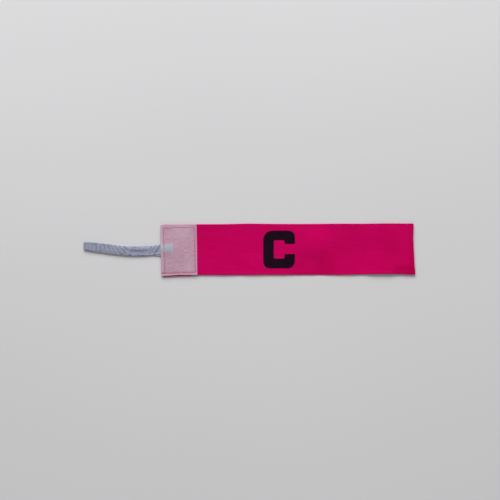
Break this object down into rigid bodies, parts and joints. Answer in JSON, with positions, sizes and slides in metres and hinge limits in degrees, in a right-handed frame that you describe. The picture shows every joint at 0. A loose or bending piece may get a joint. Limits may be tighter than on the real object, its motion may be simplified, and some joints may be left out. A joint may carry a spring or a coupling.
{
  "type": "captain armband",
  "caption": "Hot pink cloth captain armband lying flat: a band with a black letter C, hook tape over one end, an elastic loop and a pile patch behind the other end.",
  "frame": {"origin": "middle of the armband's footprint, on the surface that it lies on", "axes": "+X along the band to its right end, +Y to its upper edge as the letter reads, +Z out of its front"},
  "size_m": [0.4507, 0.0728, 0.0059],
  "materials": {
    "pink_cloth": "matt knit",
    "hook_tape": "see-through nylon, slightly shiny",
    "elastic": "matt, ribbed",
    "pile_tape": "brushed pile",
    "letter_film": "satin film"
  },
  "bodies": {
    "root": {"band_cloth": "pink_cloth", "hook_panel": "hook_tape", "elastic_loop": "elastic", "captain_letter": "letter_film", "loop_patch": "pile_tape"}
  },
  "joints": []
}
